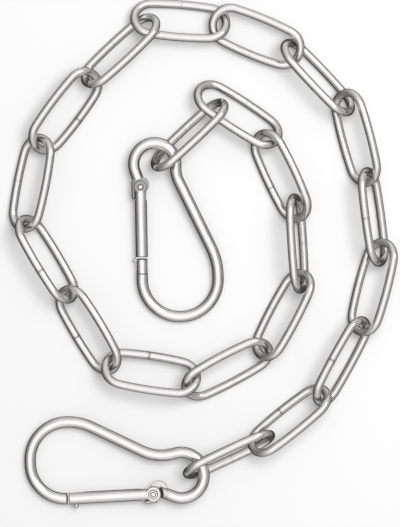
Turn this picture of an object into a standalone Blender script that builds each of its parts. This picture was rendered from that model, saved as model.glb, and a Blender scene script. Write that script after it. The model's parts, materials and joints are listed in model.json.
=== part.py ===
"""A length of bright steel long-link chain with a spring snap hook at each end.

The chain lies on a level floor in one open clockwise turn and a half: snap hook A and the
first link are inside, snap hook B and the last link outside. Lengths are in metres, +Z is up,
the floor is Z = 0 and the origin is under the middle of the whole thing.

Each link is one welded ring of round wire. A snap hook is three pieces: a rod bent to a pear
with a small eye, a gate that swings in on a rivet, and the rivet.
"""

import math

import bmesh
import bpy
import numpy as np
from mathutils import Matrix

MM = 0.001

# Link: a long oval of round wire, measured over its outside
WIRE = 4.4 * MM
LINK_LENGTH = 53.4 * MM
LINK_WIDTH = 24.8 * MM
CROWN_RADIUS = 9.5 * MM
CROWN_STEPS = 8
SIDE_STEPS = 4
WIRE_RESOLUTION = 3

# Snap hook: the rod and what is worked on its two ends
ROD = 6.0 * MM
ROD_RESOLUTION = 4
BEND_STEP = math.radians(13)
TONGUE_RADIUS = 3.8 * MM
TONGUE_THICKNESS = 2.6 * MM
NECK_RADIUS = 2.85 * MM
NECK_START = 38.2 * MM
NECK_FLAT = -0.6 * MM
CATCH_TOP = 0.8 * MM
CATCH_BOTTOM = -2.6 * MM
SHOULDER = 46.0 * MM

# Gate: a round bar with a fork at its rivet and a half lap at its free end
GATE_RADIUS = 3.2 * MM
GATE_END = 45.2 * MM
GATE_EYE_HALF = 2.95 * MM
SPOT_BORDER = 0.5 * MM
SPOT_HEIGHT = 2.65 * MM
GATE_SIDES = 24
LAP_START = 37.3 * MM
LAP_TOP = -1.0 * MM
FORK_DEPTH = 7.0 * MM

# Rivet: its shank and two flat heads
RIVET_RADIUS = 1.1 * MM
HEAD_THICKNESS = 0.6 * MM

# Clear space between pieces that touch, and what a pair of links may have over that
LINK_GAP = 0.4 * MM
LINK_SLACK = 0.4 * MM
FIT_GAP = 0.35 * MM

# Where each link lies, read off the photograph: x and y of its middle in mm, heading and lean
# in degrees, and how far its neighbours carry it off the floor in mm. The lean is positive
# where the side on the right of the heading is the high one.
LINK_PLACES = (
    (-5.6, 68.1, 43, 63.5, 0),
    (20.3, 78.8, -33.5, 38.5, 0.1),
    (43.0, 46.8, -65, -44.5, 0),
    (51.5, 10.6, -86.5, 70, 0),
    (44.1, -27.5, -118, -47.5, 0),
    (14.9, -56.0, -152, 40.5, 0),
    (-25.8, -58.0, 171.5, -30.5, 4.6),
    (-59.4, -35.5, 121, 41, 0),
    (-81.4, 2.6, 121, -56.5, 0),
    (-89.5, 42.4, 79, 39, 0),
    (-71.6, 81.0, 53, -39.5, 0),
    (-42.2, 113.2, 43, 50.5, 0),
    (-10.5, 129.0, -4.5, 26.5, 0.7),
    (30.3, 120.6, -22.5, -13, 3.5),
    (62.9, 98.8, -46.5, 56.5, 0),
    (82.7, 66.3, -74.5, -48, 0),
    (92.0, 24.9, -82, 61, 0),
    (90.9, -12.8, -104.5, -46, 0),
    (75.1, -51.8, -119, 56, 0),
    (47.9, -83.1, -141.5, -53, 0),
    (15.4, -101.1, -155, 70.5, 0),
)

# How freely x, y, heading, lean and lift give way while the links settle, and when that ends
GIVE = (1.0 * MM, 1.0 * MM, 1.5, 3.0, 1.0 * MM)
NUDGE = (0.05 * MM, 0.05 * MM, 0.2, 0.2, 0.05 * MM)
SETTLED = 0.03 * MM
SETTLE_ROUNDS = 60

# Snap hooks, in mm in the hook's own plane: the rivet is at 0, 0, the gate runs along +X and the
# back of the hook is on the +Y side. Hook B lies with its other face up, so it is turned over
# about its gate. The corners of the rod's centre line each have their bend radius. Pocket is the
# radius that the rod is cut back to round the gate's eye, heel is the x, y and radius of the
# rounded corner of the flattened end, and tail is that end's stop on the outer side: where it
# starts and ends along the gate, and how far out it reaches. Catch is the x, y and radius of the
# pin that the gate's free end closes on.
HOOKS = (
    {
        "name": "snap_hook_a",
        "rivet": (-31.6, 40.7),
        "heading": -89,
        "turned_over": False,
        "gate_eye": 3.3,
        "rivet_head": 1.55,
        "pocket": 4.9,
        "heel": (-1.2, 0.6, 4.0),
        "tail": (-3.2, 6.5, -4.8),
        "catch": (39.0, -4.2, 0.6),
        "corners": (
            (0, 0.3, 0),
            (-23.3, -8.2, 11.2),
            (-23.3, 19.2, 11.1),
            (-6, 18.8, 16),
            (40, 40.4, 36),
            (69.5, 40.4, 20.1),
            (69.5, 0, 20),
            (46, 0, 0),
        ),
    },
    {
        "name": "snap_hook_b",
        "rivet": (-24.6, -122.5),
        "heading": -176.5,
        "turned_over": True,
        "gate_eye": 4.1,
        "rivet_head": 2.15,
        "pocket": 5.6,
        "heel": (-3.0, 2.5, 4.3),
        "tail": (-1.8, 4.9, -5.0),
        "catch": (41.5, -3.9, 1.15),
        "corners": (
            (-0.8, 2.4, 0),
            (-27.4, -9.4, 11.9),
            (-27.4, 23.8, 11.9),
            (-2.8, 19.0, 24),
            (37.4, 40.8, 28),
            (65.0, 40.8, 20.2),
            (65.0, 0, 18.7),
            (46, 0, 0),
        ),
    },
)
STEEPEST_TILT = 8.0
TILT_HALVINGS = 30

STEEL = (0.62, 0.61, 0.59, 1.0)
STEEL_ROUGHNESS = 0.22
WORN_STEEL = (0.52, 0.51, 0.50, 1.0)
WORN_ROUGHNESS = 0.3


def clear_scene():
    for obj in list(bpy.data.objects):
        bpy.data.objects.remove(obj, do_unlink=True)


def new_collection(name):
    collection = bpy.data.collections.new(name)
    bpy.context.scene.collection.children.link(collection)
    return collection


def metal(name, colour, roughness):
    material = bpy.data.materials.new(name)
    material.use_nodes = True
    shader = material.node_tree.nodes["Principled BSDF"]
    shader.inputs["Base Color"].default_value = colour
    shader.inputs["Roughness"].default_value = roughness
    shader.inputs["Metallic"].default_value = 1.0
    return material


def add_object(name, data, collection, parent=None):
    obj = bpy.data.objects.new(name, data)
    collection.objects.link(obj)
    obj.parent = parent
    return obj


def round_bar_curve(name, points, diameter, resolution, cyclic):
    """A curve of straight runs through the points, with a round section."""
    curve = bpy.data.curves.new(name, "CURVE")
    curve.dimensions = "3D"
    curve.bevel_depth = diameter / 2
    curve.bevel_resolution = resolution
    curve.use_fill_caps = not cyclic
    spline = curve.splines.new("POLY")
    spline.points.add(len(points) - 1)
    for control, point in zip(spline.points, points):
        control.co = (*point, 1.0)
    spline.use_cyclic_u = cyclic
    return curve


def link_centre_line():
    """The oval of a link in its own plane: two crown arcs and two long, slightly bowed sides."""
    half_length = (LINK_LENGTH - WIRE) / 2
    half_width = (LINK_WIDTH - WIRE) / 2
    crown_centre = half_length - CROWN_RADIUS
    side_radius = (crown_centre**2 + half_width**2 - CROWN_RADIUS**2) / (
        2 * (half_width - CROWN_RADIUS)
    )
    side_centre = side_radius - half_width
    side_angle = math.atan2(crown_centre, side_centre)
    crown_angle = math.pi / 2 - side_angle
    half = []
    for step in range(CROWN_STEPS + 1):
        turn = crown_angle * (2 * step / CROWN_STEPS - 1)
        half.append(
            (
                crown_centre + CROWN_RADIUS * math.cos(turn),
                CROWN_RADIUS * math.sin(turn),
            )
        )
    for step in range(1, SIDE_STEPS):
        turn = side_angle * (1 - 2 * step / SIDE_STEPS)
        half.append(
            (
                side_radius * math.sin(turn),
                side_radius * math.cos(turn) - side_centre,
            )
        )
    half = np.array(half)
    flat = np.vstack([half, -half])
    return np.column_stack([flat, np.zeros(len(flat))])


def link_matrix(place):
    """The pose of a link that rests on its low side, or is carried by its lift above that."""
    x, y, heading, lean, lift = place
    rolled = math.radians(-lean)
    half_width = (LINK_WIDTH - WIRE) / 2
    height = half_width * abs(math.sin(rolled)) + WIRE / 2 + max(lift, 0.0)
    turned = Matrix.Rotation(math.radians(heading), 4, "Z")
    return (
        Matrix.Translation((x, y, height)) @ turned @ Matrix.Rotation(rolled, 4, "X")
    )


def moved(points, matrix):
    matrix = np.array(matrix)
    return points @ matrix[:3, :3].T + matrix[:3, 3]


def spread(points, pieces=6):
    """The same closed line with each run cut into pieces."""
    ahead = np.roll(points, -1, axis=0)
    cuts = np.arange(pieces)[:, None, None] / pieces
    return (points + (ahead - points) * cuts).reshape(-1, 3)


def nearest(first, second):
    return np.linalg.norm(first[:, None] - second[None], axis=2).min()


def settle(places):
    """Nudges each pair of neighbouring links until their wires just clear each other."""
    oval = spread(link_centre_line())
    places = [np.array(place) for place in places]
    give = [np.array(GIVE) * (1, 1, 1, 1, place[4] > 0) for place in places]

    def excess(pair):
        near, far = (moved(oval, link_matrix(place)) for place in (pair[:5], pair[5:]))
        return nearest(near, far) - WIRE - LINK_GAP

    for _ in range(SETTLE_ROUNDS):
        worst = 0.0
        for index in range(len(places) - 1):
            pair = np.concatenate(places[index : index + 2])
            free = np.concatenate(give[index : index + 2])
            apart = excess(pair)
            error = apart - min(max(apart, 0.0), LINK_SLACK)
            worst = max(worst, abs(error))
            if abs(error) < SETTLED:
                continue
            nudges = np.diag(NUDGE * 2)
            slope = np.array([excess(pair + nudge) - apart for nudge in nudges])
            slope *= free / np.array(NUDGE * 2)
            pair -= error / (slope @ slope) * slope * free
            places[index], places[index + 1] = pair[:5], pair[5:]
        if worst < SETTLED:
            break
    return places


def bent_rod_line(corners):
    """Centre line of a rod bent round each corner at its radius, as points at z = 0."""
    corners = np.array(corners) * MM
    line = [corners[0][:2]]
    for before, corner, after in zip(corners, corners[1:], corners[2:]):
        back = (before - corner)[:2] / np.linalg.norm((before - corner)[:2])
        ahead = (after - corner)[:2] / np.linalg.norm((after - corner)[:2])
        half = math.acos(back @ ahead) / 2
        middle = (back + ahead) / np.linalg.norm(back + ahead)
        centre = corner[:2] + middle * corner[2] / math.sin(half)
        start = corner[:2] + back * corner[2] / math.tan(half) - centre
        turn = math.copysign(math.pi - 2 * half, ahead[0] * back[1] - ahead[1] * back[0])
        steps = max(2, round(abs(turn) / BEND_STEP))
        for step in range(steps + 1):
            cos, sin = math.cos(turn * step / steps), math.sin(turn * step / steps)
            line.append(centre + np.array([[cos, -sin], [sin, cos]]) @ start)
    line.append(corners[-1][:2])
    return np.column_stack([line, np.zeros(len(line))])


def hook_matrix(hook, link_wire):
    """Tilts the hook about its far bend until its rod clears the wire that its eye lies on."""
    rod_line = bent_rod_line(hook["corners"])
    x, y = np.array(hook["rivet"]) * MM
    over = Matrix.Rotation(math.pi if hook["turned_over"] else 0.0, 4, "X")
    heading = Matrix.Rotation(math.radians(hook["heading"]), 4, "Z")

    def pose(tilt):
        tilted = heading @ Matrix.Rotation(math.radians(tilt), 4, "Y") @ over
        lowest = moved(rod_line, tilted)[:, 2].min()
        return Matrix.Translation((x, y, ROD / 2 - lowest)) @ tilted

    low, high = 0.0, STEEPEST_TILT / 2
    for _ in range(TILT_HALVINGS):
        tilt = (low + high) / 2
        rod = moved(rod_line, pose(tilt))
        runs = (rod[:-1, None] + (rod[1:] - rod[:-1])[:, None] * np.linspace(0, 1, 9)[:, None])
        clear = nearest(runs.reshape(-1, 3), link_wire) - (ROD + WIRE) / 2 > LINK_GAP
        low, high = (low, tilt) if clear else (tilt, high)
    return pose(high)


def primitive(name, collection, parent, build):
    """A former for a Boolean: it never shows, and it is a closed mesh."""
    mesh = bpy.data.meshes.new(name)
    shape = bmesh.new()
    build(shape)
    shape.to_mesh(mesh)
    shape.free()
    former = add_object(name, mesh, collection, parent)
    former.hide_render = True
    former.display_type = "WIRE"
    return former


def cylinder_z(shape, radius, bottom, top, centre=(0.0, 0.0), sides=24):
    place = Matrix.Translation((*centre, (bottom + top) / 2))
    bmesh.ops.create_cone(
        shape,
        cap_ends=True,
        segments=sides,
        radius1=radius,
        radius2=radius,
        depth=top - bottom,
        matrix=place,
    )


def cylinder_x(shape, radius, start, end, sides=24):
    place = Matrix.Translation(((start + end) / 2, 0, 0)) @ Matrix.Rotation(
        math.pi / 2, 4, "Y"
    )
    bmesh.ops.create_cone(
        shape,
        cap_ends=True,
        segments=sides,
        radius1=radius,
        radius2=radius,
        depth=end - start,
        matrix=place,
    )


def block(shape, low, high):
    low, high = np.array(low), np.array(high)
    bmesh.ops.create_cube(shape, size=1.0)
    bmesh.ops.scale(shape, vec=high - low, verts=shape.verts)
    bmesh.ops.translate(shape, vec=(low + high) / 2, verts=shape.verts)


def half_round(shape, radius, start, end, flat):
    """A bar along X that keeps only what is above the height flat."""
    cylinder_x(shape, radius, start, end)
    everything = shape.verts[:] + shape.edges[:] + shape.faces[:]
    cut = bmesh.ops.bisect_plane(
        shape,
        geom=everything,
        plane_co=(0, 0, flat),
        plane_no=(0, 0, -1),
        clear_outer=True,
    )
    rim = [part for part in cut["geom_cut"] if isinstance(part, bmesh.types.BMEdge)]
    bmesh.ops.contextual_create(shape, geom=rim)
    bmesh.ops.recalc_face_normals(shape, faces=shape.faces)


def boolean(obj, former, operation):
    modifier = obj.modifiers.new(former.name, "BOOLEAN")
    modifier.operation = operation
    modifier.object = former


def smooth(obj):
    obj.data.shade_smooth()
    obj.data.set_sharp_from_angle(angle=math.radians(35))


def mesh_from_curve(obj):
    """The curve object as a mesh object of the same name, with its caps welded on."""
    graph = bpy.context.evaluated_depsgraph_get()
    mesh = bpy.data.meshes.new_from_object(obj.evaluated_get(graph))
    shape = bmesh.new()
    shape.from_mesh(mesh)
    bmesh.ops.remove_doubles(shape, verts=shape.verts, dist=0.01 * MM)
    shape.to_mesh(mesh)
    shape.free()
    name, parent, collection = obj.name, obj.parent, obj.users_collection[0]
    place = obj.matrix_world.copy()
    bpy.data.objects.remove(obj)
    made = add_object(name, mesh, collection, parent)
    made.matrix_world = place
    return made


def make_links(parts, parent):
    """Twenty-one welded links, each lying in the one before it."""
    curve = round_bar_curve("link", link_centre_line(), WIRE, WIRE_RESOLUTION, True)
    curve.materials.append(metal("link_steel", STEEL, STEEL_ROUGHNESS))
    scale = np.array((MM, MM, 1, 1, MM))
    places = settle([np.array(place) * scale for place in LINK_PLACES])
    for number, place in enumerate(places, 1):
        link = add_object(f"link_{number:02d}", curve, parts, parent)
        link.matrix_basis = link_matrix(place)
    oval = spread(link_centre_line())
    return [moved(oval, link_matrix(place)) for place in (places[0], places[-1])]


def make_hook_body(hook, parts, cutters, carrier):
    """The bent rod: flattened round the rivet at one end, a half-round neck at the other."""
    name = hook["name"]
    line = bent_rod_line(hook["corners"])
    curve = round_bar_curve(f"{name}_body", line, ROD, ROD_RESOLUTION, False)
    body = mesh_from_curve(add_object(f"{name}_body", curve, parts, carrier))
    body.data.materials.append(metal(f"{name}_rod_steel", STEEL, STEEL_ROUGHNESS))
    half = TONGUE_THICKNESS / 2
    catch_x, catch_y, catch_radius = np.array(hook["catch"]) * MM

    def cheek_pockets(shape):
        for side in (-1, 1):
            ends = sorted((side * (half - 0.1 * MM), side * ROD))
            cylinder_z(shape, hook["pocket"] * MM, *ends)

    def heel(shape):
        x, y, radius = np.array(hook["heel"]) * MM
        cylinder_z(shape, radius, 0.1 * MM - half, half - 0.1 * MM, (x, y))

    def tongue(shape):
        cylinder_z(shape, TONGUE_RADIUS, -half, half)

    def tail(shape):
        start, end, outer = np.array(hook["tail"]) * MM
        block(shape, (start, outer, 0.2 * MM - half), (end, -ROD / 4, half - 0.2 * MM))

    def neck(shape):
        half_round(shape, NECK_RADIUS, NECK_START, SHOULDER + ROD / 4, NECK_FLAT)

    def catch(shape):
        cylinder_z(shape, catch_radius, CATCH_BOTTOM, CATCH_TOP, (catch_x, catch_y), 16)

    def catch_lug(shape):
        low = (catch_x - catch_radius / 2, catch_y, NECK_FLAT + 0.1 * MM)
        block(shape, low, (catch_x + catch_radius / 2, 0, CATCH_TOP - 0.1 * MM))

    def hole(shape):
        cylinder_z(shape, RIVET_RADIUS + FIT_GAP, -ROD, ROD, sides=16)

    steps = (
        (cheek_pockets, "DIFFERENCE"),
        (heel, "UNION"),
        (tongue, "UNION"),
        (tail, "UNION"),
        (neck, "UNION"),
        (catch_lug, "UNION"),
        (catch, "UNION"),
        (hole, "DIFFERENCE"),
    )
    for build, operation in steps:
        former = primitive(f"{name}_{build.__name__}", cutters, carrier, build)
        boolean(body, former, operation)
    smooth(body)


def make_gate(hook, parts, cutters, carrier):
    """The sprung gate: its fork straddles the tongue and its half lap closes under the neck."""
    name = hook["name"]
    catch_x, catch_y, catch_radius = np.array(hook["catch"]) * MM
    spot_radius = hook["rivet_head"] * MM + SPOT_BORDER

    def bar(shape):
        cylinder_x(shape, GATE_RADIUS, 0, GATE_END, GATE_SIDES)

    def eye(shape):
        cylinder_z(shape, hook["gate_eye"] * MM, -GATE_EYE_HALF, GATE_EYE_HALF)

    def fork(shape):
        half = TONGUE_THICKNESS / 2 + FIT_GAP
        block(shape, (-ROD, -ROD, -half), (FORK_DEPTH, ROD, half))

    def lap(shape):
        block(shape, (LAP_START, -ROD, LAP_TOP), (GATE_END + ROD, ROD, ROD))

    def notch(shape):
        radius = catch_radius + FIT_GAP
        cylinder_z(shape, radius, -ROD, ROD, (catch_x, catch_y), 16)

    def spot_faces(shape):
        cylinder_z(shape, spot_radius, SPOT_HEIGHT, ROD)
        cylinder_z(shape, spot_radius, -ROD, -SPOT_HEIGHT)

    def gate_hole(shape):
        cylinder_z(shape, RIVET_RADIUS + FIT_GAP, -ROD, ROD, sides=16)

    mesh = bpy.data.meshes.new(f"{name}_gate")
    shape = bmesh.new()
    bar(shape)
    shape.to_mesh(mesh)
    shape.free()
    gate = add_object(f"{name}_gate", mesh, parts, carrier)
    gate.data.materials.append(metal(f"{name}_gate_steel", STEEL, STEEL_ROUGHNESS))
    steps = (
        (eye, "UNION"),
        (fork, "DIFFERENCE"),
        (lap, "DIFFERENCE"),
        (notch, "DIFFERENCE"),
        (spot_faces, "DIFFERENCE"),
        (gate_hole, "DIFFERENCE"),
    )
    for build, operation in steps:
        former = primitive(f"{name}_{build.__name__}", cutters, carrier, build)
        boolean(gate, former, operation)
    smooth(gate)


def make_rivet(hook, parts, cutters, carrier):
    """The rivet that the gate swings on, a shank with a flat head on each face."""
    name = hook["name"]
    under_head = SPOT_HEIGHT + FIT_GAP
    top = under_head + HEAD_THICKNESS
    mesh = bpy.data.meshes.new(f"{name}_rivet")
    shape = bmesh.new()
    cylinder_z(shape, RIVET_RADIUS, -top, top, sides=16)
    shape.to_mesh(mesh)
    shape.free()
    rivet = add_object(f"{name}_rivet", mesh, parts, carrier)
    rivet.data.materials.append(metal(f"{name}_rivet_steel", WORN_STEEL, WORN_ROUGHNESS))

    def heads(shape):
        radius = hook["rivet_head"] * MM
        cylinder_z(shape, radius, under_head, top, sides=20)
        cylinder_z(shape, radius, -top, -under_head, sides=20)

    boolean(rivet, primitive(f"{name}_heads", cutters, carrier, heads), "UNION")
    smooth(rivet)


def make_hook(hook, link_wire, parts, cutters, parent):
    carrier = add_object(hook["name"], None, parts, parent)
    carrier.matrix_basis = hook_matrix(hook, link_wire)
    bpy.context.view_layer.update()
    make_hook_body(hook, parts, cutters, carrier)
    make_gate(hook, parts, cutters, carrier)
    make_rivet(hook, parts, cutters, carrier)


def stand_on_origin(root, parts):
    """Moves everything so that the middle of its base is the origin."""
    bpy.context.view_layer.update()
    graph = bpy.context.evaluated_depsgraph_get()
    corners = []
    for obj in parts.objects:
        if obj.type == "EMPTY":
            continue
        shown = obj.evaluated_get(graph)
        mesh = shown.to_mesh()
        place = shown.matrix_world
        corners.append([place @ vertex.co for vertex in mesh.vertices])
        shown.to_mesh_clear()
    corners = np.vstack(corners)
    low, high = corners.min(axis=0), corners.max(axis=0)
    root.location = (-(low[0] + high[0]) / 2, -(low[1] + high[1]) / 2, -low[2])
    bpy.context.view_layer.update()


def main():
    clear_scene()
    parts = new_collection("chain_with_snap_hooks")
    cutters = new_collection("cutters")
    root = add_object("chain_with_snap_hooks", None, parts)
    end_wires = make_links(parts, root)
    for hook, wire in zip(HOOKS, end_wires):
        make_hook(hook, wire, parts, cutters, root)
    stand_on_origin(root, parts)


main()
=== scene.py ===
"""The finish of a bright steel long-link chain with a spring snap hook at each end."""

import json
import math

import bmesh
import bpy
import numpy as np
from mathutils import Matrix, Vector


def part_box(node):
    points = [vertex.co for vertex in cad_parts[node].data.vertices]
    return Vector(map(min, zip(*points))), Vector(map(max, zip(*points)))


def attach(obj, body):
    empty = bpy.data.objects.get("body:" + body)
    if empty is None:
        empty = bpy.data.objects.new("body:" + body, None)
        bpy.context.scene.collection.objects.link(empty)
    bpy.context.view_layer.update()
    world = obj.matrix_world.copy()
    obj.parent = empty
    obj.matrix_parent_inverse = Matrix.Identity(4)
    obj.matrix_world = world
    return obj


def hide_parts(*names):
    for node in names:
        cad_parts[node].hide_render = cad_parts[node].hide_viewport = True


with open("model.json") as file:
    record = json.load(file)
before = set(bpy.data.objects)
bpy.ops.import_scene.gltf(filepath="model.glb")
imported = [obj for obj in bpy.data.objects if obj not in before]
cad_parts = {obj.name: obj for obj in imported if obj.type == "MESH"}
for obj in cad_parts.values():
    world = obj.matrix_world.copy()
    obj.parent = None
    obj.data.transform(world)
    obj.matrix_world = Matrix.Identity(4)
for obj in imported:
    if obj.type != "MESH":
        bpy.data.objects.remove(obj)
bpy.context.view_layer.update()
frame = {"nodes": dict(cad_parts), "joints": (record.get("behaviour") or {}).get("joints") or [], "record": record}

# The view: straight down on the chain, from far enough away that the links at the edge of the
# picture lean outwards only a little.
MM = 0.001
VIEW_HEIGHT = 1.2
VIEW_MIDDLE = (-1.27 * MM, -5.40 * MM)
VIEW_TALL = 281.9 * MM
SENSOR = 36.0

camera = bpy.data.cameras.new("overhead")
camera.sensor_width = SENSOR
camera.lens = SENSOR * VIEW_HEIGHT / VIEW_TALL
camera.clip_end = 10
overhead = bpy.data.objects.new("overhead", camera)
overhead.location = (*VIEW_MIDDLE, VIEW_HEIGHT)
bpy.context.scene.collection.objects.link(overhead)
bpy.context.scene.camera = overhead
bpy.context.scene.view_settings.view_transform = "Standard"


# The table that the chain lies on: one sheet of matt white board, larger than the picture. It
# lets a little light through from beneath, which keeps the shadows on it pale.
BOARD_SIDE = 3.0
BOARD_DROP = 0.2 * MM
BOARD_COLOUR = (0.30, 0.30, 0.30)
BOARD_GLOW = 0.12

board_mesh = bpy.data.meshes.new("board")
board_shape = bmesh.new()
bmesh.ops.create_grid(board_shape, x_segments=1, y_segments=1, size=BOARD_SIDE / 2)
board_shape.to_mesh(board_mesh)
board_shape.free()
board = bpy.data.objects.new("board", board_mesh)
board.location.z = -BOARD_DROP
board.visible_glossy = False
bpy.context.scene.collection.objects.link(board)
board_finish = bpy.data.materials.new("white_board")
board_finish.use_nodes = True
board_shader = board_finish.node_tree.nodes["Principled BSDF"]
board_shader.inputs["Base Color"].default_value = (*BOARD_COLOUR, 1)
board_shader.inputs["Roughness"].default_value = 1.0
board_shader.inputs["Specular IOR Level"].default_value = 0.0
board_shader.inputs["Emission Color"].default_value = (1, 1, 1, 1)
board_shader.inputs["Emission Strength"].default_value = BOARD_GLOW
board_mesh.materials.append(board_finish)

# The light: a white ceiling, walls that are paler at the top and the right of the picture, and
# darkness below the table, which draws the steel's dark edges. A soft lamp at the upper right
# lays short shadows to the lower left, and a weaker one gives the steel its glints.

# The Mix node's sockets for colours: the two that it mixes and the mixed one.
MIX_FIRST, MIX_SECOND, MIXED = 6, 7, 2


class Reading:
    """A value that changes over a surface. Sums of readings are written as sums."""

    def __init__(self, tree, socket=None):
        self.tree = tree
        self.socket = socket

    def node(self, kind, settings=None, values=None, output=0):
        """Adds a node, sets it, then feeds its sockets with numbers or other readings."""
        made = self.tree.nodes.new(kind)
        for name, setting in (settings or {}).items():
            setattr(made, name, setting)
        for name, value in (values or {}).items():
            if isinstance(value, Reading):
                self.tree.links.new(value.socket, made.inputs[name])
            else:
                made.inputs[name].default_value = value
        return Reading(self.tree, made.outputs[output])

    def maths(self, operation, *terms):
        return self.node("ShaderNodeMath", {"operation": operation}, dict(enumerate(terms)))

    def __add__(self, other):
        return self.maths("ADD", self, other)

    def __sub__(self, other):
        return self.maths("SUBTRACT", self, other)

    def __mul__(self, other):
        return self.maths("MULTIPLY", self, other)

    def __truediv__(self, other):
        return self.maths("DIVIDE", self, other)

    def __radd__(self, other):
        return self.maths("ADD", other, self)

    def __rsub__(self, other):
        return self.maths("SUBTRACT", other, self)

    def __rmul__(self, other):
        return self.maths("MULTIPLY", other, self)

    def __rtruediv__(self, other):
        return self.maths("DIVIDE", other, self)

    def __abs__(self):
        return self.maths("ABSOLUTE", self)

    def root(self):
        return self.maths("SQRT", self)

    def most(self, other):
        """The larger of the two at each point."""
        return self.maths("MAXIMUM", self, other)

    def between(self, low, high):
        """0 up to low, 1 from high, and a smooth rise between them; high may be the lower."""
        settings = {"interpolation_type": "SMOOTHSTEP"}
        values = {"Value": self, "From Min": low, "From Max": high}
        return self.node("ShaderNodeMapRange", settings, values)

    def stretched(self, along, across, shift=0.0):
        """A place on the bar, scaled along it and across it, and shifted for its own grain."""
        settings = {"operation": "MULTIPLY_ADD"}
        values = {0: self, 1: (along, across, across), 2: (shift, shift, shift)}
        return self.node("ShaderNodeVectorMath", settings, values)

    def noise(self, scale, detail=2.0, roughness=0.5):
        values = {"Vector": self, "Scale": scale, "Detail": detail, "Roughness": roughness}
        return self.node("ShaderNodeTexNoise", {}, values)

    def tinted(self, colour, other):
        """The first colour where this reading is 0, the second where it is 1."""
        values = {0: self, MIX_FIRST: (*colour, 1), MIX_SECOND: (*other, 1)}
        return self.node("ShaderNodeMix", {"data_type": "RGBA"}, values, output=MIXED)

    def faded(self, colours, other):
        """The same, from a reading of colours to one plain colour."""
        values = {0: self, MIX_FIRST: colours, MIX_SECOND: (*other, 1)}
        return self.node("ShaderNodeMix", {"data_type": "RGBA"}, values, output=MIXED)

    def bump(self, height, strength, under=None):
        """This reading as relief, laid on the relief under it."""
        values = {"Height": self, "Distance": height, "Strength": strength}
        if under:
            values["Normal"] = under
        return self.node("ShaderNodeBump", {}, values)


CEILING = 0.85
WALL = 0.36
TO_RIGHT = 0.17
TO_TOP = 0.13
TOP_AND_BOTTOM = 0.50
ABOVE_TABLE = 0.10
UPPER_WALL = 0.28
UNDER = 0.85
NOT_ZERO = 0.0001

# Where each of them begins and ends: the sine of the angle above the level of the table.
CEILING_EDGE = (0.66, 0.92)
TINTED_WALL = (0.7, 0.0)
TABLE_EDGE = (-0.1, 0.15)
WALL_TOP = (0.1, 0.85)
DARK_BELOW = (-0.25, -0.65)

LAMPS = {
    "shadow_lamp": {"size": 0.6, "place": (0.20, 0.14, 0.97), "power": 19.2},
    "side_lamp": {"size": 0.4, "place": (0.50, 0.42, 0.75), "power": 1.3},
}

world = bpy.data.worlds.new("studio")
world.use_nodes = True
bpy.context.scene.world = world
studio = Reading(world.node_tree)
direction = studio.node("ShaderNodeTexCoord")
right, top, up = [
    direction.node("ShaderNodeSeparateXYZ", {}, {0: direction}, axis) for axis in range(3)
]
level = (right * right + top * top + NOT_ZERO).root()
across = top * top / (level * level)
wall = WALL + (TO_RIGHT * right + TO_TOP * top) / level * up.between(*TINTED_WALL)
wall = wall + ABOVE_TABLE * up.between(*TABLE_EDGE) + UPPER_WALL * up.between(*WALL_TOP)
above = up.between(*CEILING_EDGE)
light = wall + CEILING * above + across * across * (1 - above) * TOP_AND_BOTTOM
light = light * (1 - UNDER * up.between(*DARK_BELOW))
background = world.node_tree.nodes["Background"]
world.node_tree.links.new(light.socket, background.inputs["Color"])

for name, made in LAMPS.items():
    lamp_data = bpy.data.lights.new(name, "AREA")
    lamp_data.shape = "DISK"
    lamp_data.size = made["size"]
    lamp_data.energy = made["power"]
    lamp = bpy.data.objects.new(name, lamp_data)
    lamp.location = made["place"]
    lamp.rotation_euler = Vector(made["place"]).to_track_quat("Z", "Y").to_euler()
    lamp.visible_glossy = name != "shadow_lamp"
    bpy.context.scene.collection.objects.link(lamp)


# The links: each is a length of drawn round steel wire, bent to a long oval, butt welded in
# the middle of one side, and tumbled until it is bright. The weld shows as a fine ring.
WIRE = 4.4 * MM
LINK_LENGTH = 53.4 * MM
LINK_WIDTH = 24.8 * MM
CROWN_RADIUS = 9.5 * MM
WIRE_STEP = 1.3 * MM
WIRE_SIDES = 22
WELD_RINGS = np.array((0.0, 0.14, 0.28, 0.5, 0.9, 1.4)) * MM
WELD_GROOVE = 0.11 * MM
WELD_SWELL = 0.05 * MM
GROOVE_REACH = 0.16
SWELL_START = 0.2
SWELL_REACH = 0.8
SEAM_EDGE = (0.22, 0.08)
HEAT_EDGE = (1.6, 0.3)
HEAT = 0.35
LINK_COLOUR = (0.623, 0.608, 0.598)
LINK_LINES = (0.553, 0.538, 0.528)
LINK_ROUGH = 0.13
WELD_COLOUR = (0.16, 0.145, 0.13)
DRAWN_DEPTH = 0.012 * MM

# Where the weld shows: the side it is on, how far it is past the middle in mm, and how plain it
# is. All the other links have a faint one on their low side.
WELDS = {
    3: ("inner", 3.3, 0.6),
    7: ("inner", 2.4, 1.0),
    8: ("outer", 0.0, 0.9),
    9: ("outer", -3.9, 0.8),
    11: ("inner", 0.4, 0.9),
    17: ("inner", 0.4, 0.6),
    19: ("inner", 1.8, 0.9),
    20: ("inner", 1.1, 0.9),
}
FAINT_WELD = 0.2


def link_arcs():
    """The arcs of the oval, from the middle of the welded side and back to it."""
    half_length = (LINK_LENGTH - WIRE) / 2
    half_width = (LINK_WIDTH - WIRE) / 2
    crown = half_length - CROWN_RADIUS
    side = (crown**2 + half_width**2 - CROWN_RADIUS**2) / (2 * (half_width - CROWN_RADIUS))
    bow = math.atan2(crown, side - half_width)
    quarter = math.pi / 2
    return (
        ((0, half_width - side), side, quarter, bow),
        ((-crown, 0), CROWN_RADIUS, quarter + bow, math.pi - 2 * bow),
        ((0, side - half_width), side, 3 * quarter - bow, 2 * bow),
        ((crown, 0), CROWN_RADIUS, 3 * quarter + bow, math.pi - 2 * bow),
        ((0, half_width - side), side, quarter - bow, bow),
    )


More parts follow.
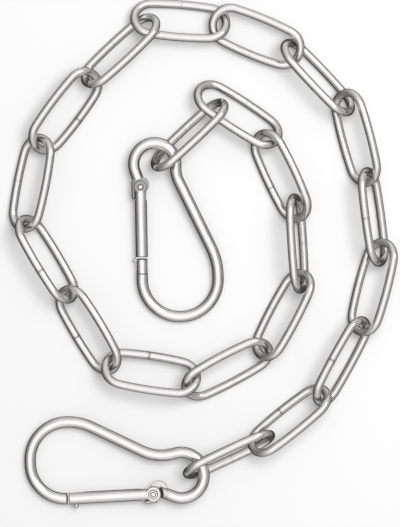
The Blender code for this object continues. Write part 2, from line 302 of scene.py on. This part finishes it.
def link_point(arcs, run):
    """The point at that distance along the oval, and the direction that faces outwards."""
    for centre, radius, start, sweep in arcs:
        if run <= radius * sweep:
            break
        run -= radius * sweep
    angle = start + min(run / radius, sweep)
    out = np.array([math.cos(angle), math.sin(angle), 0])
    return np.array((*centre, 0)) + radius * out, out


def ring_mesh(name, rings, closed):
    """A skin over rings of points, joined up end to end or capped."""
    count = len(rings[0])
    mesh = bpy.data.meshes.new(name)
    shape = bmesh.new()
    loops = [[shape.verts.new(point) for point in ring] for ring in rings]
    pairs = list(zip(loops, loops[1:]))
    if closed:
        pairs.append((loops[-1], loops[0]))
    else:
        shape.faces.new(loops[0][::-1])
        shape.faces.new(loops[-1])
    for near, far in pairs:
        for side in range(count):
            after = (side + 1) % count
            shape.faces.new((near[side], near[after], far[after], far[side]))
    bmesh.ops.recalc_face_normals(shape, faces=shape.faces)
    shape.to_mesh(mesh)
    shape.free()
    return mesh


def swept_bar(name, line, outs, radii, sides, closed):
    """A round bar along a flat centre line, of a radius that may change along it."""
    rings = []
    for point, out, radius in zip(line, outs, radii):
        turns = np.arange(sides)[:, None] * 2 * math.pi / sides
        rings.append(point + radius * (np.cos(turns) * out + np.sin(turns) * (0, 0, 1)))
    return ring_mesh(name, rings, closed)


def mark_places(mesh, line, outs, runs, around=0.0):
    """Gives each corner its place on the bar as if the bar were straight, in mm, so that drawn
    lines follow the bends: how far along, and how far off the middle, sideways and up."""
    points = np.empty(len(mesh.vertices) * 3)
    mesh.vertices.foreach_get("co", points)
    points = points.reshape(-1, 3)
    near = np.array([np.argmin(((line - point) ** 2).sum(axis=1)) for point in points])
    off = points - line[near]
    along = runs[near] + (off * np.cross(outs[near], (0, 0, -1))).sum(axis=1)
    places = np.column_stack([along, (off * outs[near]).sum(axis=1), off[:, 2]])
    corners = np.empty(len(mesh.loops), np.int32)
    mesh.loops.foreach_get("vertex_index", corners)
    values = places[corners]
    if around:
        for face in mesh.polygons:
            span = slice(face.loop_start, face.loop_start + face.loop_total)
            first = values[span, 0]
            values[span, 0] = np.where(first < first.max() - around / 2, first + around, first)
    place = mesh.attributes.new("bar_place", "FLOAT_VECTOR", "CORNER")
    place.data.foreach_set("vector", np.float32(values / MM).ravel())


def link_mesh(name, past_middle, plainness):
    arcs = link_arcs()
    around = sum(radius * sweep for _, radius, _, sweep in arcs)
    plain = np.arange(WELD_RINGS[-1] + WIRE_STEP, around - WELD_RINGS[-1], WIRE_STEP)
    runs = np.concatenate([WELD_RINGS, plain, (around - WELD_RINGS[:0:-1])])
    apart = np.minimum(runs, around - runs) / MM
    groove = WELD_GROOVE * plainness * np.exp(-((apart / GROOVE_REACH) ** 2))
    swell = WELD_SWELL * plainness * np.exp(-((apart / SWELL_REACH) ** 2))
    radii = WIRE / 2 - groove + swell * (1 - np.exp(-((apart / SWELL_START) ** 2)))
    line, outs = zip(*(link_point(arcs, (run + past_middle) % around) for run in runs))
    line, outs = np.array(line), np.array(outs)
    mesh = swept_bar(name, line, outs, radii, WIRE_SIDES, closed=True)
    mark_places(mesh, line, outs, runs, around)
    mesh.shade_smooth()
    return mesh, around


def steel_reading(name):
    """A new finish, its shader, and the place on the bar of each point of it."""
    finish = bpy.data.materials.new(name)
    finish.use_nodes = True
    shader = finish.node_tree.nodes["Principled BSDF"]
    shader.inputs["Metallic"].default_value = 1.0
    steel = Reading(finish.node_tree)
    place = steel.node("ShaderNodeAttribute", {"attribute_name": "bar_place"}, output="Vector")
    return finish, shader, place


def finish_with(finish, shader, **readings):
    """Feeds the shader's sockets, named with _ for a space."""
    for socket, reading in readings.items():
        finish.node_tree.links.new(reading.socket, shader.inputs[socket.replace("_", " ")])
    return finish


def link_finish(name, number, plainness, around):
    """Bright drawn wire: fine lines along it, scuffs from its neighbours, and the weld."""
    finish, shader, place = steel_reading(name)
    run = place.node("ShaderNodeSeparateXYZ", {}, {0: place})
    half = around / MM / 2
    weld = half - abs(run - half)
    lines = place.stretched(0.25, 9.0, number * 7.3).noise(1.0, 3.0, 0.6)
    scuffs = place.stretched(0.5, 0.5, number * 3.1).noise(1.0, 4.0, 0.62).between(0.52, 0.72)
    pits = place.stretched(1.6, 1.6, number * 5.7).noise(1.0, 2.0).between(0.70, 0.78)
    seam = weld.between(*SEAM_EDGE) * plainness
    heat = weld.between(*HEAT_EDGE) * (HEAT * plainness)
    drawn = lines.between(0.35, 0.75).tinted(LINK_COLOUR, LINK_LINES)
    colour = (seam + heat).faded(drawn, WELD_COLOUR)
    rough = LINK_ROUGH + 0.10 * lines + 0.12 * scuffs + 0.25 * seam
    relief = lines * 0.35 + scuffs * 0.25 - pits * 0.6
    bump = relief.bump(DRAWN_DEPTH, 0.6)
    return finish_with(finish, shader, Base_Color=colour, Roughness=rough, Normal=bump)


def put_in(name, mesh, finish, body, node):
    """Adds a finished piece that rides with a body in the place of its plain solid."""
    mesh.materials.clear()
    mesh.materials.append(finish)
    piece = bpy.data.objects.new(name, mesh)
    bpy.context.scene.collection.objects.link(piece)
    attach(piece, body)
    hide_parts(node)


link_middles = {
    number: sum(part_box(f"link_{number:02d}"), Vector()) / 2 for number in range(1, 22)
}
for number, middle in link_middles.items():
    node = f"link_{number:02d}"
    onward = link_middles.get(number + 1, middle) - link_middles.get(number - 1, middle)
    corners = np.array([vertex.co for vertex in frame["nodes"][node].data.vertices])
    spread = np.linalg.svd(np.unique(corners.round(6), axis=0) - middle, full_matrices=False)[2]
    along, across = Vector(spread[0]), Vector(spread[1])
    along = along if along.dot(onward) > 0 else -along
    left = Vector((0, 0, 1)).cross(along)
    low_side = "inner" if across.z * across.dot(left) > 0 else "outer"
    side, past_middle, plainness = WELDS.get(number, (low_side, 0.0, FAINT_WELD))
    across = across if (across.dot(left) > 0) == (side == "outer") else -across
    mesh, around = link_mesh(f"welded_{node}", -past_middle * MM, plainness)
    turned = Matrix((along, across, along.cross(across))).transposed().to_4x4()
    mesh.transform(Matrix.Translation(middle) @ turned)
    finish = link_finish(f"drawn_wire_{number:02d}", number, plainness, around)
    put_in(f"welded_{node}", mesh, finish, "chain", node)

# The snap hooks' rods: each is one round steel bar, pressed flat at one end to take the gate's
# rivet, with a stop beside it for the gate, and turned down at the other to a half-round neck
# with a catch pin on its side. It is then bent cold to a pear and polished.
ROD = 6.0 * MM
ROD_SIDES = 36
BEND_STEP = math.radians(3)
SAME_POINT = 0.05 * MM
SHARP_EDGE = math.radians(32)

# Its worked ends, in mm, with places along the gate counted from the rivet.
TONGUE_RADIUS = 3.8
TONGUE_THICKNESS = 2.6
NECK_RADIUS = 2.85
NECK_START = 38.2
NECK_FLAT = -0.6
NECK_BEVEL = 0.3
NECK_ROOT = 1.5
TAIL_THINNER = 0.2
TAIL_BEVEL = 0.5
TAIL_TIP = 0.6
WEB_HALF = 0.5
WEB_SHORTER = 0.3
WEB_INNER = -1.5
EYE_REACH = 9.0
CATCH_TOP = 0.8
CATCH_BOTTOM = -2.6
DOME_TURNS = (0.2, 0.5, 0.85, 1.2, math.pi / 2)
SHOULDER = 46.0
SHOULDER_BEVEL = 0.35
RIVET_HOLE = 1.45

# Its finish, and how strong the painted shade is in each place, from 0 to 1.
ROD_COLOUR = (0.643, 0.628, 0.618)
ROD_STREAKS = (0.563, 0.548, 0.538)
ROD_ROUGH = 0.12
ROD_DENTS = 0.25 * MM
STREAK_DEPTH = 0.012 * MM
SOFT_EDGE = 0.14 * MM
PAINTED_SHADE_COLOUR = (0.035, 0.032, 0.03)
RING_SHADE = 0.6
STOP_SHADE = 0.75
RIM_SHADE = 0.8
LIP_SHADE = 0.7

# Painted shade at an edge is full as far from it as the first, and faded out at the second.
LIP_FULL = 0.35
LIP_FADE = 0.8

# How far a cutter reaches past the bar, and how far joined lumps sink into each other.
PAST = 8.0
SINK = 0.1
FINE_SIDES = 96
SMALL_SIDES = 32
HOLE = ((-PAST, RIVET_HOLE), (PAST, RIVET_HOLE))

# Each hook in its own plane, in mm: the rivet is at 0, 0, the gate runs along X and the back of
# the hook is on the Y side. The rod is cut back round the gate's eye as far as the pocket, and
# may keep a rounded end there. Corners of the centre line come with their bend radius, the
# rounded end, the heel and the catch as x, y and radius, and the tail, which is the gate's
# stop, as its start and end along the gate and how far out it lies. Streaks only shifts the
# grain, so that each piece has its own.
HOOKS = {
    "a": {
        "pocket": 4.9,
        "rounded_end": (-7.6, -2.1, 3.75),
        "heel": (-1.2, 0.6, 4.0),
        "tail": (-3.2, 6.5, -4.8),
        "catch": (39.0, -4.2, 0.6),
        "gate_eye": 3.3,
        # The next two set painted shade: how dark the gap behind the gate's eye and the low flats near the rivet
        # are coloured.
        "gap_dirt": 0.0,
        "flat_dirt": 0.55,
        "streaks": 3.0,
        "corners": (
            (0, 0.3, 0),
            (-23.3, -8.2, 11.2),
            (-23.3, 19.2, 11.1),
            (-6, 18.8, 16),
            (40, 40.4, 36),
            (69.5, 40.4, 20.1),
            (69.5, 0, 20),
            (46, 0, 0),
        ),
    },
    "b": {
        "pocket": 5.6,
        "heel": (-3.0, 2.5, 4.3),
        "tail": (-1.8, 4.9, -5.0),
        "catch": (41.5, -3.9, 1.15),
        "gate_eye": 4.1,
        # The next two set painted shade: how dark the gap behind the gate's eye and the low flats near the rivet
        # are coloured.
        "gap_dirt": 1.0,
        "flat_dirt": 0.2,
        "streaks": 17.0,
        "corners": (
            (-0.8, 2.4, 0),
            (-27.4, -9.4, 11.9),
            (-27.4, 23.8, 11.9),
            (-2.8, 19.0, 24),
            (37.4, 40.8, 28),
            (65.0, 40.8, 20.2),
            (65.0, 0, 18.7),
            (46, 0, 0),
        ),
    },
}


def hook_place(letter):
    """Where a hook lies, from its gate's hinge and from the way its bow points."""
    named = {item["name"]: item for item in frame["joints"] + frame["record"]["mounts"]}
    hinge, bow = named[f"gate_{letter}_hinge"], named[f"snap_hook_{letter}_bow"]
    up = Vector(hinge["axis"]).normalized()
    across = up.cross(Vector(bow["axis"])).normalized()
    turned = Matrix((across.cross(up), across, up)).transposed().to_4x4()
    return Matrix.Translation(hinge["pos_m"]) @ turned


def bent_line(corners):
    """The centre line of a bar bent round each corner at its radius."""
    corners = np.array(corners) * MM
    line = [corners[0][:2]]
    for before, corner, after in zip(corners, corners[1:], corners[2:]):
        back = (before - corner)[:2] / np.linalg.norm((before - corner)[:2])
        ahead = (after - corner)[:2] / np.linalg.norm((after - corner)[:2])
        half = math.acos(back @ ahead) / 2
        middle = (back + ahead) / np.linalg.norm(back + ahead)
        centre = corner[:2] + middle * corner[2] / math.sin(half)
        start = corner[:2] + back * corner[2] / math.tan(half) - centre
        turn = math.copysign(math.pi - 2 * half, ahead[0] * back[1] - ahead[1] * back[0])
        steps = max(2, round(abs(turn) / BEND_STEP))
        for step in range(steps + 1):
            cos, sin = math.cos(turn * step / steps), math.sin(turn * step / steps)
            line.append(centre + np.array([[cos, -sin], [sin, cos]]) @ start)
    line.append(corners[-1][:2] + (SHOULDER_BEVEL * MM, 0))
    line.append(corners[-1][:2])
    line = np.column_stack([line, np.zeros(len(line))])
    return line[np.append(True, np.linalg.norm(np.diff(line, axis=0), axis=1) > SAME_POINT)]


def sideways(line):
    """The direction square to the line at each of its points, and the distance run."""
    steps = np.diff(line, axis=0)
    runs = np.append(0, np.cumsum(np.linalg.norm(steps, axis=1)))
    steps /= np.linalg.norm(steps, axis=1)[:, None]
    ways = np.vstack([steps[:1], steps[:-1] + steps[1:], steps[-1:]])
    outs = np.cross(ways, (0, 0, 1))
    return outs / np.linalg.norm(outs, axis=1)[:, None], runs


def turned_blank(name, profile, middle=(0, 0), sides=48, lying=False):
    """A lathe's work: pairs of the place along the axis and the radius there, in mm."""
    turns = np.arange(sides)[:, None] * 2 * math.pi / sides
    rings = []
    for place, radius in profile:
        round_off = np.hstack([np.cos(turns), np.sin(turns)]) * radius + middle
        level = np.full((sides, 1), place)
        rings.append(np.hstack([level, round_off] if lying else [round_off, level]) * MM)
    return ring_mesh(name, rings, closed=False)


def square_blank(name, low, high):
    low, high = np.array(low) * MM, np.array(high) * MM
    mesh = bpy.data.meshes.new(name)
    shape = bmesh.new()
    bmesh.ops.create_cube(shape, size=1.0)
    bmesh.ops.scale(shape, vec=high - low, verts=shape.verts)
    bmesh.ops.translate(shape, vec=(low + high) / 2, verts=shape.verts)
    shape.to_mesh(mesh)
    shape.free()
    return mesh


def worked(mesh, *steps):
    """The blank after each tool in turn has cut it or each addition has joined it."""
    blank = bpy.data.objects.new(mesh.name, mesh)
    bpy.context.scene.collection.objects.link(blank)
    tools = []
    for operation, tool_mesh in steps:
        tool = bpy.data.objects.new(tool_mesh.name, tool_mesh)
        bpy.context.scene.collection.objects.link(tool)
        modifier = blank.modifiers.new(tool.name, "BOOLEAN")
        modifier.operation = operation
        modifier.object = tool
        tools.append(tool)
    graph = bpy.context.evaluated_depsgraph_get()
    done = bpy.data.meshes.new_from_object(blank.evaluated_get(graph))
    for obj in [blank, *tools]:
        bpy.data.objects.remove(obj)
    return done


def close_line(line, runs, spacing=0.4 * MM):
    """The same line with points close together, for finding the nearest one."""
    fine = np.arange(0, runs[-1], spacing)
    return np.column_stack([np.interp(fine, runs, line[:, axis]) for axis in range(3)])


def rod_mesh(letter, hook):
    line = bent_line(hook["corners"])
    outs, runs = sideways(line)
    radii = np.full(len(line), ROD / 2)
    radii[-1] -= SHOULDER_BEVEL * MM
    blank = swept_bar(f"rod_{letter}", line, outs, radii, ROD_SIDES, closed=False)
    half = TONGUE_THICKNESS / 2
    reach = hook["pocket"]
    if "rounded_end" in hook:
        end_x, end_y, end_radius = hook["rounded_end"]
        end_profile = ((-PAST - 1, end_radius), (PAST + 1, end_radius))
        reach = EYE_REACH
    cheeks = []
    for low, high in ((half - SINK, PAST), (-PAST, SINK - half)):
        cutter = turned_blank("cheek", ((low, reach), (high, reach)), sides=FINE_SIDES)
        if "rounded_end" in hook:
            left = turned_blank("end", end_profile, (end_x, end_y), FINE_SIDES)
            cutter = worked(cutter, ("DIFFERENCE", left))
        cheeks.append(("DIFFERENCE", cutter))
    heel_x, heel_y, heel_radius = hook["heel"]
    heel = ((SINK - half, heel_radius), (half - SINK, heel_radius))
    start, end, outer = hook["tail"]
    thick = half - TAIL_THINNER
    flat = ((start + TAIL_BEVEL, thick), (end - TAIL_BEVEL, thick))
    tail = ((start, TAIL_TIP), *flat, (end, TAIL_TIP))
    web_low = (start + WEB_SHORTER, outer + thick, -WEB_HALF)
    web_high = (end - WEB_SHORTER, WEB_INNER, WEB_HALF)
    catch_x, catch_y, catch_radius = hook["catch"]
    tip = ((NECK_START, NECK_RADIUS - NECK_BEVEL), (NECK_START + NECK_BEVEL, NECK_RADIUS))
    under_low = (NECK_START - PAST, -PAST, -PAST)
    under_high = (SHOULDER + PAST, PAST, NECK_FLAT)
    neck = worked(
        turned_blank("neck", (*tip, (SHOULDER + NECK_ROOT, NECK_RADIUS)), lying=True),
        ("DIFFERENCE", square_blank("under", under_low, under_high)),
    )
    lug_low = (catch_x - catch_radius / 2, catch_y, NECK_FLAT + SINK)
    lug_high = (catch_x + catch_radius / 2, 0, CATCH_TOP - SINK)
    dome = [(1 - math.cos(turn), math.sin(turn)) for turn in DOME_TURNS]
    upper = [(CATCH_TOP - drop * catch_radius, size * catch_radius) for drop, size in dome]
    lower = [(CATCH_BOTTOM + drop * catch_radius, size * catch_radius) for drop, size in dome]
    disc = ((-half, TONGUE_RADIUS), (half, TONGUE_RADIUS))
    mesh = worked(
        blank,
        *cheeks,
        ("UNION", turned_blank("heel", heel, (heel_x, heel_y), FINE_SIDES)),
        ("UNION", turned_blank("tongue", disc, sides=FINE_SIDES)),
        ("UNION", turned_blank("tail", tail, (outer + thick, 0), SMALL_SIDES, lying=True)),
        ("UNION", square_blank("web", web_low, web_high)),
        ("UNION", neck),
        ("UNION", square_blank("lug", lug_low, lug_high)),
        ("UNION", turned_blank("catch", upper + lower[::-1], (catch_x, catch_y), SMALL_SIDES)),
        ("DIFFERENCE", turned_blank("hole", HOLE)),
    )
    fine = close_line(line, runs)
    mark_places(mesh, fine, *sideways(fine))
    mesh.shade_smooth()
    mesh.set_sharp_from_angle(angle=SHARP_EDGE)
    return mesh


def from_rivet(place, placed):
    """A point's place in the hook's own plane, in mm from the rivet, and its distance from it."""
    here = place.node("ShaderNodeTexCoord", output="Object")
    back = placed.inverted()
    turned = {"Vector": here, "Location": back.translation, "Rotation": back.to_euler()}
    own = here.node("ShaderNodeMapping", {}, turned)
    x, y, z = [own.node("ShaderNodeSeparateXYZ", {}, {0: own}, axis) / MM for axis in range(3)]
    return x, y, z, (x * x + y * y).root()


def paint_rod_shade(place, hook, placed):
    """Painted shade, a near black colour where shade falls: in the gap round the gate's eye, beside
    the stop, under the rounded end, thinly over the flats, and along the edges that the closed gate meets."""
    x, y, z, off = from_rivet(place, placed)
    eye = hook["gate_eye"]
    inside = off.between(hook["pocket"] + 0.05, hook["pocket"] - 0.3)
    behind = (x / off).between(-0.55, -0.8) * hook["gap_dirt"]
    painted_shade = (off.between(eye + 0.5, eye + 0.2) * RING_SHADE).most(behind) * inside
    start, end, outer = hook["tail"]
    beside = y.between(outer + 0.8, outer + 1.2) * y.between(outer + 2.2, outer + 1.9)
    beside = beside * x.between(start - 0.3, start) * x.between(end + 0.3, end)
    painted_shade = painted_shade.most(beside * STOP_SHADE)
    if "rounded_end" in hook:
        end_x, end_y, end_radius = hook["rounded_end"]
        from_end = ((x - end_x) * (x - end_x) + (y - end_y) * (y - end_y)).root()
        rim = from_end.between(end_radius + 0.5, end_radius + 0.15) * off.between(8.5, 8.0)
        painted_shade = painted_shade.most(rim * RIM_SHADE)
    painted_shade = painted_shade * z.between(2.2, 1.6)
    flats = off.between(8.4, 7.8) * z.between(1.6, 1.4) * hook["flat_dirt"]
    lip = x.between(SHOULDER + LIP_FADE, SHOULDER + LIP_FULL)
    lip = lip * x.between(SHOULDER - 0.2, SHOULDER)
    tip = x.between(NECK_START + LIP_FADE, NECK_START + LIP_FULL) * x.between(30.0, 31.0)
    gate_side = y.between(8.0, 6.0) * y.between(-3.4, -3.1)
    return painted_shade.most(flats).most((lip + tip) * gate_side * LIP_SHADE)


def rod_finish(letter, hook, placed):
    """Polished bar: long fine streaks, a slightly uneven surface, and softened edges."""
    finish, shader, place = steel_reading(f"polished_rod_{letter}")
    painted_shade = paint_rod_shade(place, hook, placed)
    shift = hook["streaks"]
    streaks = place.stretched(0.06, 4.0, shift).noise(1.0, 4.0, 0.6)
    uneven = place.stretched(0.12, 0.35, shift + 4).noise(1.0, 2.0)
    scuffs = place.stretched(0.4, 0.5, shift + 9).noise(1.0, 5.0, 0.65).between(0.55, 0.75)
    polished = streaks.between(0.35, 0.75).tinted(ROD_COLOUR, ROD_STREAKS)
    # Painted shade: the polished colour turns near black in the gap round the eye, beside the stop, under the
    # rounded end and where the gate closes.
    colour = painted_shade.faded(polished, PAINTED_SHADE_COLOUR)
    rough = ROD_ROUGH + 0.10 * streaks + 0.12 * scuffs + 0.3 * painted_shade
    softened = place.node("ShaderNodeBevel", {"samples": 4}, {"Radius": SOFT_EDGE})
    wavy = uneven.bump(ROD_DENTS, 0.5, softened)
    bump = (streaks * 0.5 + scuffs * 0.3).bump(STREAK_DEPTH, 0.6, wavy)
    return finish_with(finish, shader, Base_Color=colour, Roughness=rough, Normal=bump)


hook_places = {letter: hook_place(letter) for letter in HOOKS}
for letter, hook in HOOKS.items():
    mesh = rod_mesh(letter, hook)
    mesh.transform(hook_places[letter])
    finish = rod_finish(letter, hook, hook_places[letter])
    node = f"snap_hook_{letter}_body"
    put_in(f"bent_rod_{letter}", mesh, finish, "chain", node)

# The gates: each is a bar turned on a lathe, slotted at one end to straddle the rod's tongue
# and cut half away at the other, where it closes under the rod's neck.
GATE_RADIUS = 3.2
GATE_END = 45.2
GATE_BEVEL = 0.35
GATE_EYE_HALF = 2.95
SPOT_BORDER = 0.5
SPOT_HEIGHT = 2.65
LAP_START = 37.3
LAP_TOP = -1.0
FORK_DEPTH = 7.0
FIT_GAP = 0.35
GATE_SIDES = 64
GATE_COLOUR = (0.655, 0.64, 0.63)
GATE_RINGS = (0.565, 0.55, 0.54)
GATE_ROUGH = 0.12
GATE_DENTS = 0.10 * MM
RING_DEPTH = 0.010 * MM

# The two gates: the bevel of the eye, the radius of the rivet's head in it, and the painted
# shade round that head and thinly over the eye's flat.
GATES = {
    "a": {"bevel": 0.35, "head": 1.55, "head_dirt": 0.5, "eye_dirt": 0.55, "streaks": 31.0},
    "b": {"bevel": 0.6, "head": 2.15, "head_dirt": 0.75, "eye_dirt": 0.0, "streaks": 53.0},
}


def straight_line(start, end, spacing=0.5):
    """The centre line of a bar that was never bent, from points in mm."""
    return np.array([(run, 0, 0) for run in np.arange(start, end, spacing)]) * MM


def gate_mesh(letter, gate, hook):
    nose = ((GATE_END - GATE_BEVEL, GATE_RADIUS), (GATE_END, GATE_RADIUS - GATE_BEVEL))
    profile = ((0, GATE_RADIUS), *nose)
    bar = turned_blank(f"gate_{letter}", profile, sides=GATE_SIDES, lying=True)
    eye, bevel = hook["gate_eye"], gate["bevel"]
    edge = GATE_EYE_HALF - bevel
    eye_profile = (
        (-GATE_EYE_HALF, eye - bevel),
        (-edge, eye),
        (edge, eye),
        (GATE_EYE_HALF, eye - bevel),
    )
    slot = TONGUE_THICKNESS / 2 + FIT_GAP
    catch_x, catch_y, catch_radius = hook["catch"]
    notch = ((-PAST, catch_radius + FIT_GAP), (PAST, catch_radius + FIT_GAP))
    spot = gate["head"] + SPOT_BORDER
    beyond = (GATE_END + PAST, PAST, PAST)
    mesh = worked(
        bar,
        ("UNION", turned_blank("eye", eye_profile, sides=GATE_SIDES)),
        ("DIFFERENCE", square_blank("slot", (-PAST, -PAST, -slot), (FORK_DEPTH, PAST, slot))),
        ("DIFFERENCE", square_blank("lap", (LAP_START, -PAST, LAP_TOP), beyond)),
        ("DIFFERENCE", turned_blank("notch", notch, (catch_x, catch_y))),
        ("DIFFERENCE", turned_blank("spot", ((SPOT_HEIGHT, spot), (PAST, spot)))),
        ("DIFFERENCE", turned_blank("spot_under", ((-PAST, spot), (-SPOT_HEIGHT, spot)))),
        ("DIFFERENCE", turned_blank("hole", HOLE)),
    )
    line = straight_line(-5, 50)
    mark_places(mesh, line, *sideways(line))
    mesh.shade_smooth()
    mesh.set_sharp_from_angle(angle=SHARP_EDGE)
    return mesh


def paint_gate_shade(place, gate, eye, placed):
    """Painted shade round the rivet's head, thinly over the eye's flat, and at both edges of the lap."""
    x, _, z, off = from_rivet(place, placed)
    spot = gate["head"] + SPOT_BORDER
    ring = off.between(spot + 0.1, spot - 0.1) * gate["head_dirt"]
    flat = z.between(GATE_EYE_HALF + 0.05, GATE_EYE_HALF + 0.01) * gate["eye_dirt"]
    lap = x.between(LAP_START - LIP_FADE, LAP_START - LIP_FULL)
    lap = lap * x.between(LAP_START + 0.1, LAP_START) * z.between(LAP_TOP - 0.2, LAP_TOP)
    edges = lap.most(x.between(GATE_END - LIP_FADE, GATE_END - LIP_FULL))
    return ring.most(off.between(eye + 0.1, eye - 0.1) * flat).most(edges * LIP_SHADE)


def gate_finish(letter, gate, hook, placed):
    """Turned steel: rings round the bar left by the tool, polished down, and soft edges."""
    finish, shader, place = steel_reading(f"turned_gate_{letter}")
    painted_shade = paint_gate_shade(place, gate, hook["gate_eye"], placed)
    shift = gate["streaks"]
    rings = place.stretched(6.0, 0.15, shift).noise(1.0, 2.0)
    streaks = place.stretched(0.05, 2.2, shift + 5).noise(1.0, 3.0, 0.6)
    scuffs = place.stretched(0.5, 0.5, shift + 9).noise(1.0, 5.0, 0.65).between(0.56, 0.76)
    turned = (rings * 0.15 + streaks * 0.85).between(0.35, 0.7).tinted(GATE_COLOUR, GATE_RINGS)
    # Painted shade: the turned colour darkens round the rivet's head, over the eye's flat and at the lap's edges.
    colour = painted_shade.faded(turned, PAINTED_SHADE_COLOUR)
    rough = GATE_ROUGH + 0.08 * rings + 0.12 * scuffs + 0.3 * painted_shade
    softened = place.node("ShaderNodeBevel", {"samples": 4}, {"Radius": SOFT_EDGE})
    wavy = streaks.bump(GATE_DENTS, 0.5, softened)
    bump = (rings * 0.1 + scuffs * 0.3).bump(RING_DEPTH, 0.5, wavy)
    return finish_with(finish, shader, Base_Color=colour, Roughness=rough, Normal=bump)


for letter, gate in GATES.items():
    mesh = gate_mesh(letter, gate, HOOKS[letter])
    mesh.transform(hook_places[letter])
    finish = gate_finish(letter, gate, HOOKS[letter], hook_places[letter])
    node = f"snap_hook_{letter}_gate"
    put_in(f"sprung_gate_{letter}", mesh, finish, f"gate_{letter}", node)

# The rivets: each is a plain steel pin through the tongue and both cheeks of the gate, its ends
# spread by a press, which leaves a ring in each head.
RIVET_RADIUS = 1.1
HEAD_BASE = SPOT_HEIGHT + FIT_GAP
HEAD_TOP = HEAD_BASE + 0.6
BUTTON_RADIUS = 1.25
RIVET_COLOUR = (0.60, 0.59, 0.58)
# The colour painted into the press's ring, standing in for the shade in it.
RIVET_RING_SHADE = (0.12, 0.11, 0.105)
RIVET_ROUGH = 0.2
RIVET_DENTS = 0.03 * MM
HEAD_EDGE = math.radians(50)


def rivet_mesh(letter, head):
    half = [
        (HEAD_TOP + 0.02, 0.25),
        (HEAD_TOP, BUTTON_RADIUS - 0.35),
        (HEAD_TOP - 0.12, BUTTON_RADIUS - 0.06),
        (HEAD_TOP - 0.26, BUTTON_RADIUS + 0.06),
        (HEAD_TOP - 0.08, BUTTON_RADIUS + 0.2),
        (HEAD_TOP - 0.16, head - 0.06),
        (HEAD_TOP - 0.3, head),
        (HEAD_BASE, head),
        (HEAD_BASE, RIVET_RADIUS),
    ]
    profile = [(-place, radius) for place, radius in half] + half[::-1]
    mesh = turned_blank(f"rivet_{letter}", profile)
    line = straight_line(-3, 3.1)
    mark_places(mesh, line, *sideways(line))
    mesh.shade_smooth()
    mesh.set_sharp_from_angle(angle=HEAD_EDGE)
    return mesh


def rivet_finish(letter, placed):
    """Pressed steel, duller than the rest, with painted shade in the ring that the press left."""
    finish, shader, place = steel_reading(f"pressed_rivet_{letter}")
    off = from_rivet(place, placed)[3]
    painted_shade = abs(off - BUTTON_RADIUS).between(0.3, 0.12)
    dents = place.stretched(1.5, 1.5).noise(1.0, 3.0)
    # Painted shade: the press's ring is coloured near black.
    colour = painted_shade.tinted(RIVET_COLOUR, RIVET_RING_SHADE)
    rough = RIVET_ROUGH + 0.12 * dents + 0.2 * painted_shade
    bump = dents.bump(RIVET_DENTS, 0.5)
    return finish_with(finish, shader, Base_Color=colour, Roughness=rough, Normal=bump)


for letter, gate in GATES.items():
    mesh = rivet_mesh(letter, gate["head"])
    mesh.transform(hook_places[letter])
    finish = rivet_finish(letter, hook_places[letter])
    node = f"snap_hook_{letter}_rivet"
    put_in(f"pressed_rivet_{letter}", mesh, finish, "chain", node)
